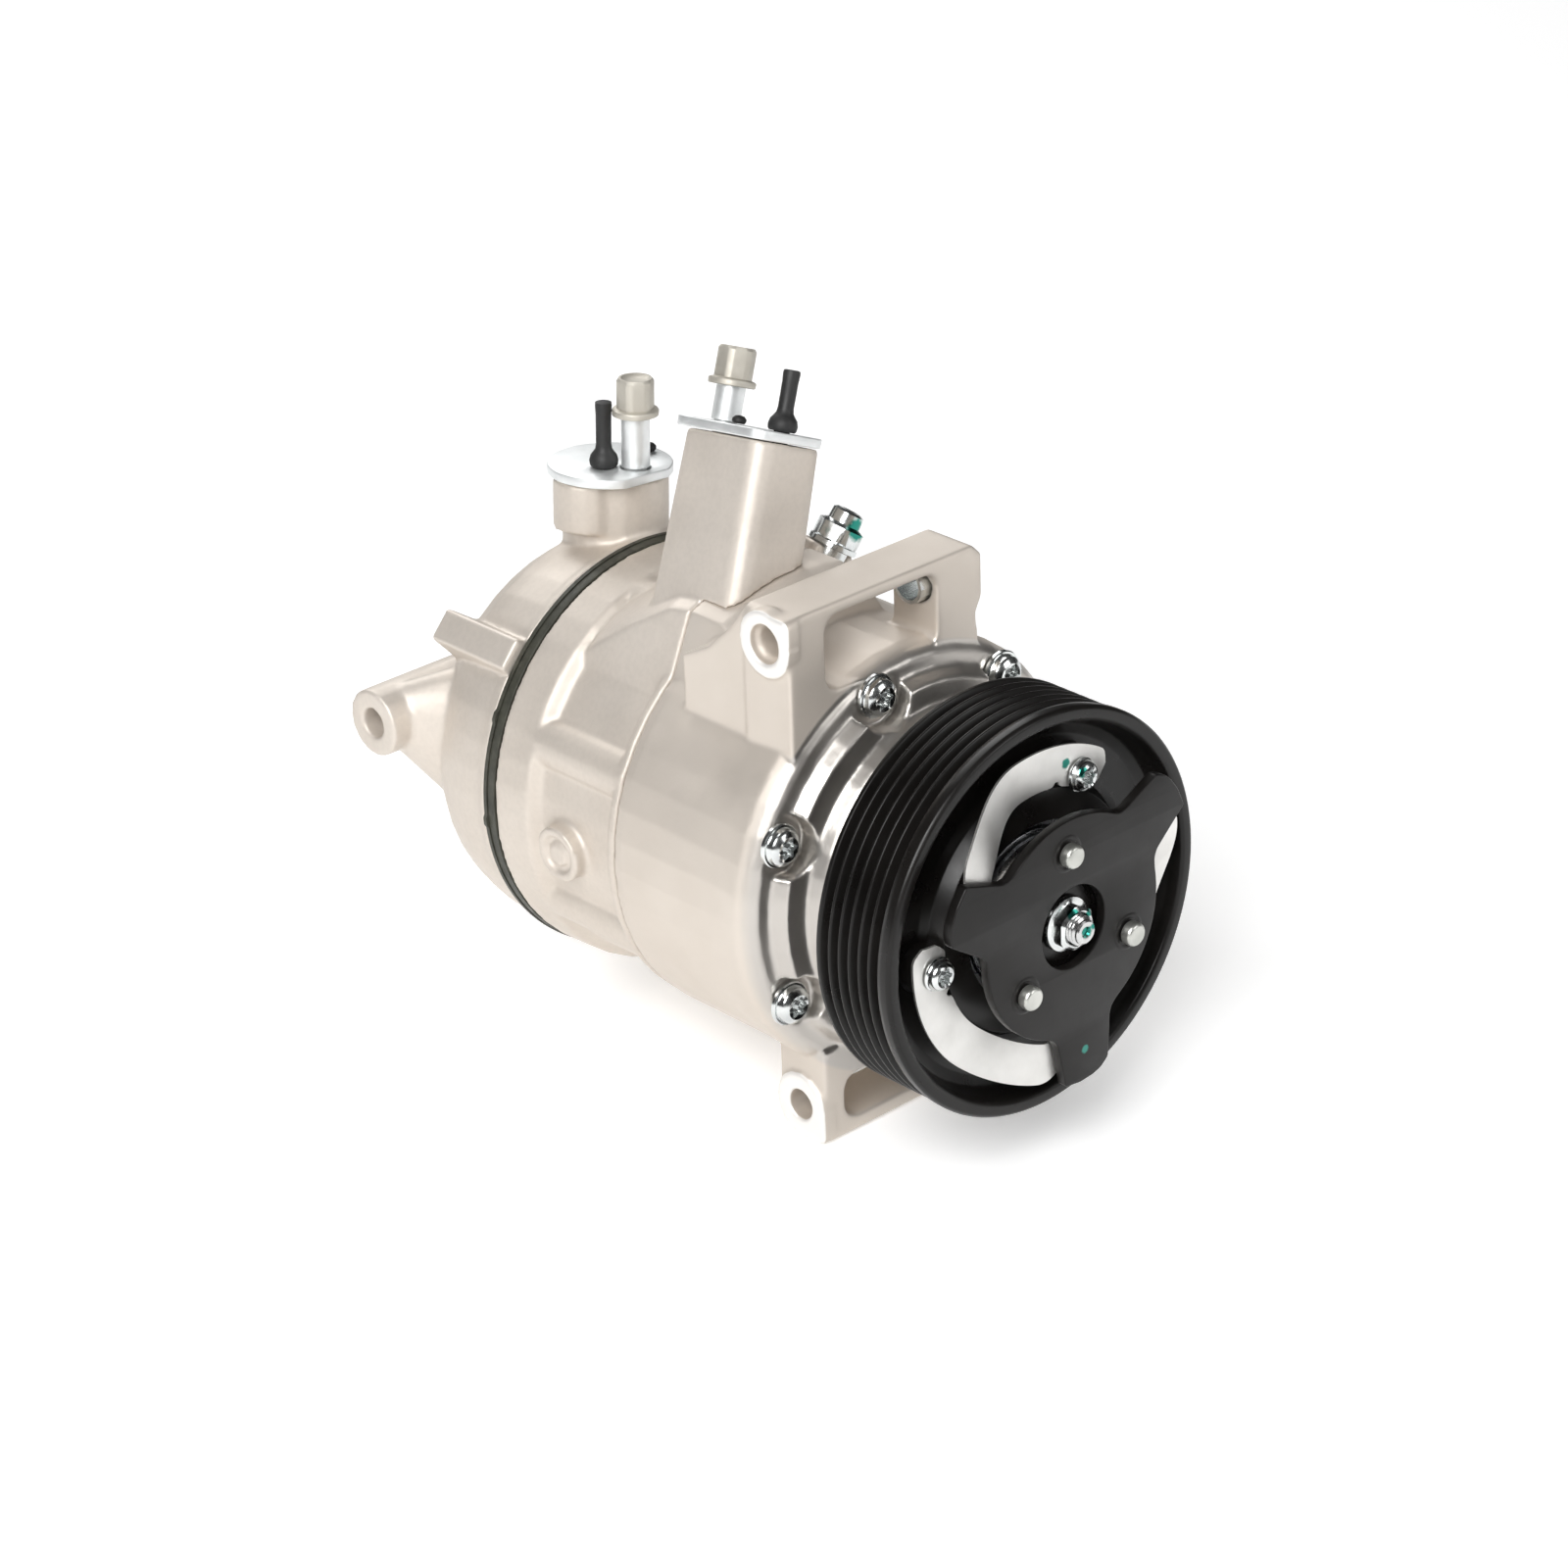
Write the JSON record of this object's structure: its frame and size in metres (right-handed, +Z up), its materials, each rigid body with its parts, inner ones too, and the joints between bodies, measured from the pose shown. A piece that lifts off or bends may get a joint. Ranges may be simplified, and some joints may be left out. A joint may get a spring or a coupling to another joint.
{
  "type": "automotive air-conditioning compressor",
  "caption": "Belt-driven swash-plate refrigerant compressor: ribbed pulley with leaf-spring drive plate, cast aluminium body with mounting ears, capped hose ports, swash plate and pistons.",
  "frame": {"origin": "centre of the flat front end of the drive shaft, in front of the pulley", "axes": "+Y along the shaft towards the rear housing, +Z up towards the refrigerant ports, +X to the right seen from the pulley side"},
  "size_m": [0.136, 0.2157, 0.1914],
  "materials": {
    "cast_alloy": "matte cast",
    "piston_alloy": "machined and coated",
    "steel": "ground",
    "zinc": "bright zinc",
    "dull_zinc": "dull zinc",
    "spring_steel": "satin",
    "black_coat": "satin black",
    "rubber": "matte",
    "gasket": "matte"
  },
  "bodies": {
    "housing": {"front_housing": "cast_alloy", "cylinder_block": "cast_alloy", "rear_housing": "cast_alloy", "valve_plate": "steel", "front_radial_bearing": "steel", "rear_radial_bearing": "steel", "thrust_bearing": "steel", "pulley_bearing_inner": "steel", "bearing_circlip": "steel", "through_bolt_1": "zinc", "through_bolt_2": "zinc", "through_bolt_3": "zinc", "through_bolt_4": "zinc", "through_bolt_5": "zinc", "through_bolt_6": "zinc", "through_bolt_7": "zinc", "ear_bush_upper": "zinc", "ear_bush_lower": "zinc", "relief_valve": "zinc", "discharge_port_plate": "zinc", "suction_port_plate": "zinc", "discharge_port_bolt": "dull_zinc", "suction_port_bolt": "dull_zinc", "suction_reed_plate": "spring_steel", "discharge_reed_plate": "spring_steel", "destroke_spring": "spring_steel", "control_valve": "black_coat", "shaft_seal": "rubber", "discharge_port_plug": "rubber", "discharge_vent_plug": "rubber", "suction_port_plug": "rubber", "suction_vent_plug": "rubber", "head_gasket": "gasket"},
    "drive": {"drive_shaft": "steel", "lug_plate": "steel", "drive_hub": "black_coat", "hub_nut": "zinc", "drive_plate": "black_coat", "pulley": "black_coat", "pulley_bearing_outer": "steel", "leaf_spring_1": "spring_steel", "leaf_spring_2": "spring_steel", "leaf_spring_3": "spring_steel", "spring_screw_1": "zinc", "spring_screw_2": "zinc", "spring_screw_3": "zinc", "rivet_1": "dull_zinc", "rivet_2": "dull_zinc", "rivet_3": "dull_zinc"},
    "sleeve": {"swash_sleeve": "steel"},
    "plate": {"swash_plate": "steel"},
    "piston_body_1": {"piston_1": "piston_alloy"},
    "piston_body_2": {"piston_2": "piston_alloy"},
    "piston_body_3": {"piston_3": "piston_alloy"},
    "piston_body_4": {"piston_4": "piston_alloy"},
    "piston_body_5": {"piston_5": "piston_alloy"},
    "piston_body_6": {"piston_6": "piston_alloy"},
    "piston_body_7": {"piston_7": "piston_alloy"}
  },
  "joints": [
    {"name": "drive_spin", "type": "hinge", "parent": "housing", "child": "drive", "pos_m": [0, 0, 0], "axis": [0, 1, 0], "continuous": true},
    {"name": "sleeve_slide", "type": "slide", "parent": "housing", "child": "sleeve", "axis": [0, 1, 0], "range_m": [-0.0141, 0], "deforming": ["destroke_spring"]},
    {"name": "swash_tilt", "type": "hinge", "parent": "sleeve", "child": "plate", "pos_m": [0, 0.107, 0], "axis": [1, 0, 0], "range_deg": [0, 20], "stiffness_Nm_per_rad": 0.5},
    {"name": "piston_1_slide", "type": "slide", "parent": "housing", "child": "piston_body_1", "axis": [0, 1, 0], "range_m": [-0.02832, 0]},
    {"name": "piston_2_slide", "type": "slide", "parent": "housing", "child": "piston_body_2", "axis": [0, 1, 0], "range_m": [-0.02514, 0]},
    {"name": "piston_3_slide", "type": "slide", "parent": "housing", "child": "piston_body_3", "axis": [0, 1, 0], "range_m": [-0.01379, 0]},
    {"name": "piston_4_slide", "type": "slide", "parent": "housing", "child": "piston_body_4", "axis": [0, 1, 0], "range_m": [-0.00281, 0]},
    {"name": "piston_5_slide", "type": "slide", "parent": "housing", "child": "piston_body_5", "axis": [0, 1, 0], "range_m": [-0.00046, 0]},
    {"name": "piston_6_slide", "type": "slide", "parent": "housing", "child": "piston_body_6", "axis": [0, 1, 0], "range_m": [-0.00853, 0]},
    {"name": "piston_7_slide", "type": "slide", "parent": "housing", "child": "piston_body_7", "axis": [0, 1, 0], "range_m": [-0.02092, 0]}
  ],
  "couplings": [
    {"joint": "sleeve_slide", "follows": "swash_tilt", "m_per_rad": -0.04011},
    {"joint": "piston_1_slide", "follows": "swash_tilt", "m_per_rad": -0.07953},
    {"joint": "piston_2_slide", "follows": "swash_tilt", "m_per_rad": -0.07061},
    {"joint": "piston_3_slide", "follows": "swash_tilt", "m_per_rad": -0.03873},
    {"joint": "piston_4_slide", "follows": "swash_tilt", "m_per_rad": -0.00788},
    {"joint": "piston_5_slide", "follows": "swash_tilt", "m_per_rad": -0.0013},
    {"joint": "piston_6_slide", "follows": "swash_tilt", "m_per_rad": -0.02394},
    {"joint": "piston_7_slide", "follows": "swash_tilt", "m_per_rad": -0.05876}
  ]
}
